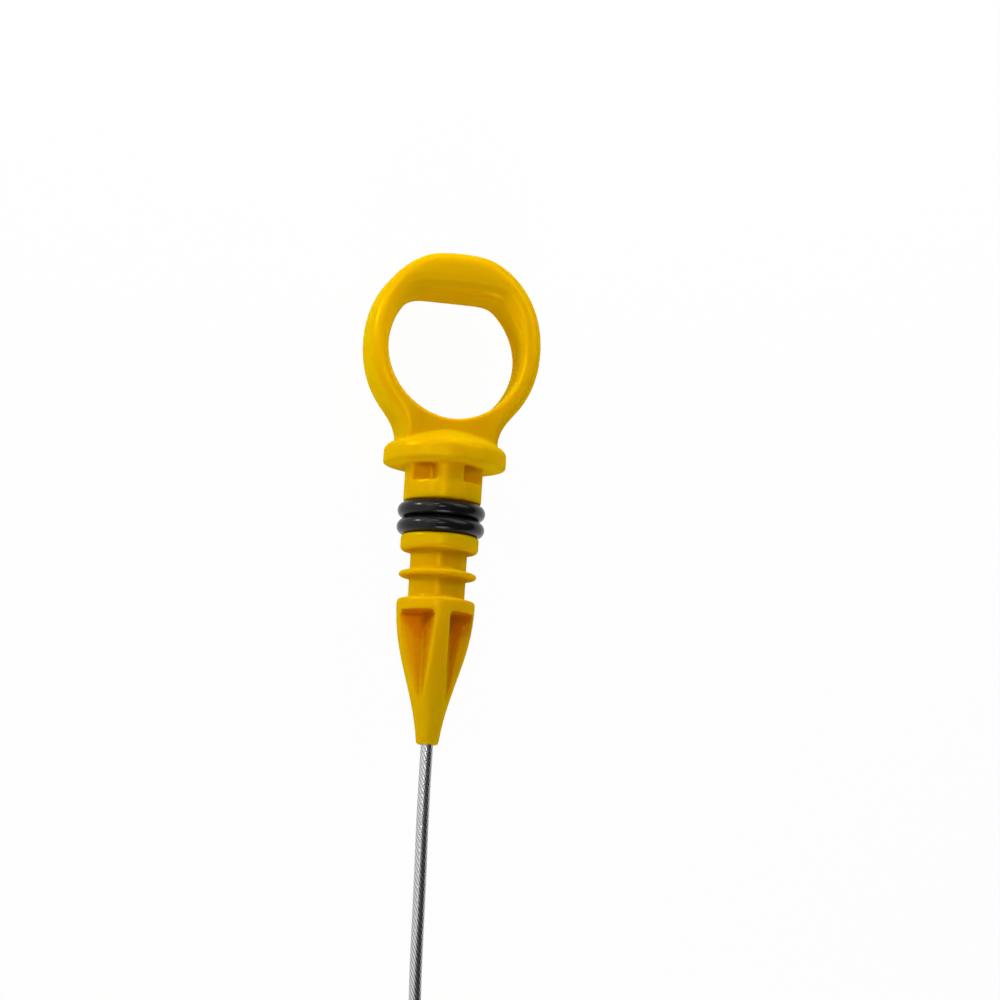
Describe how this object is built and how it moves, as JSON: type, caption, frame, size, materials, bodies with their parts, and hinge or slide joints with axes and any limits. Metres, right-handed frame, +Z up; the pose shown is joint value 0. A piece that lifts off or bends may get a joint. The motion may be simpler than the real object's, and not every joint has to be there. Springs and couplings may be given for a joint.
{
  "type": "engine oil dipstick",
  "caption": "Dipstick with a moulded finger-ring handle, two rubber seals and a wire rope that ends in a steel gauge blade.",
  "frame": {"origin": "on the floor, under the middle of the handle, which lies on the rim of its flange", "axes": "+Y along the handle's axis towards the finger ring, +X across the ring, +Z up"},
  "size_m": [0.0385, 0.221, 0.0246],
  "materials": {
    "yellow_plastic": "moulded, satin gloss",
    "black_rubber": "smooth moulded rubber",
    "rope_steel": "stranded wire, zinc grey",
    "blade_steel": "stamped steel"
  },
  "bodies": {
    "root": {"handle": "yellow_plastic", "o_ring_lower": "black_rubber", "o_ring_upper": "black_rubber", "cable_anchor": "rope_steel", "anchor_ferrule": "blade_steel", "cable_run": "rope_steel", "cable_coil": "rope_steel", "cable_tail": "rope_steel", "gauge_tip": "blade_steel"}
  },
  "joints": []
}
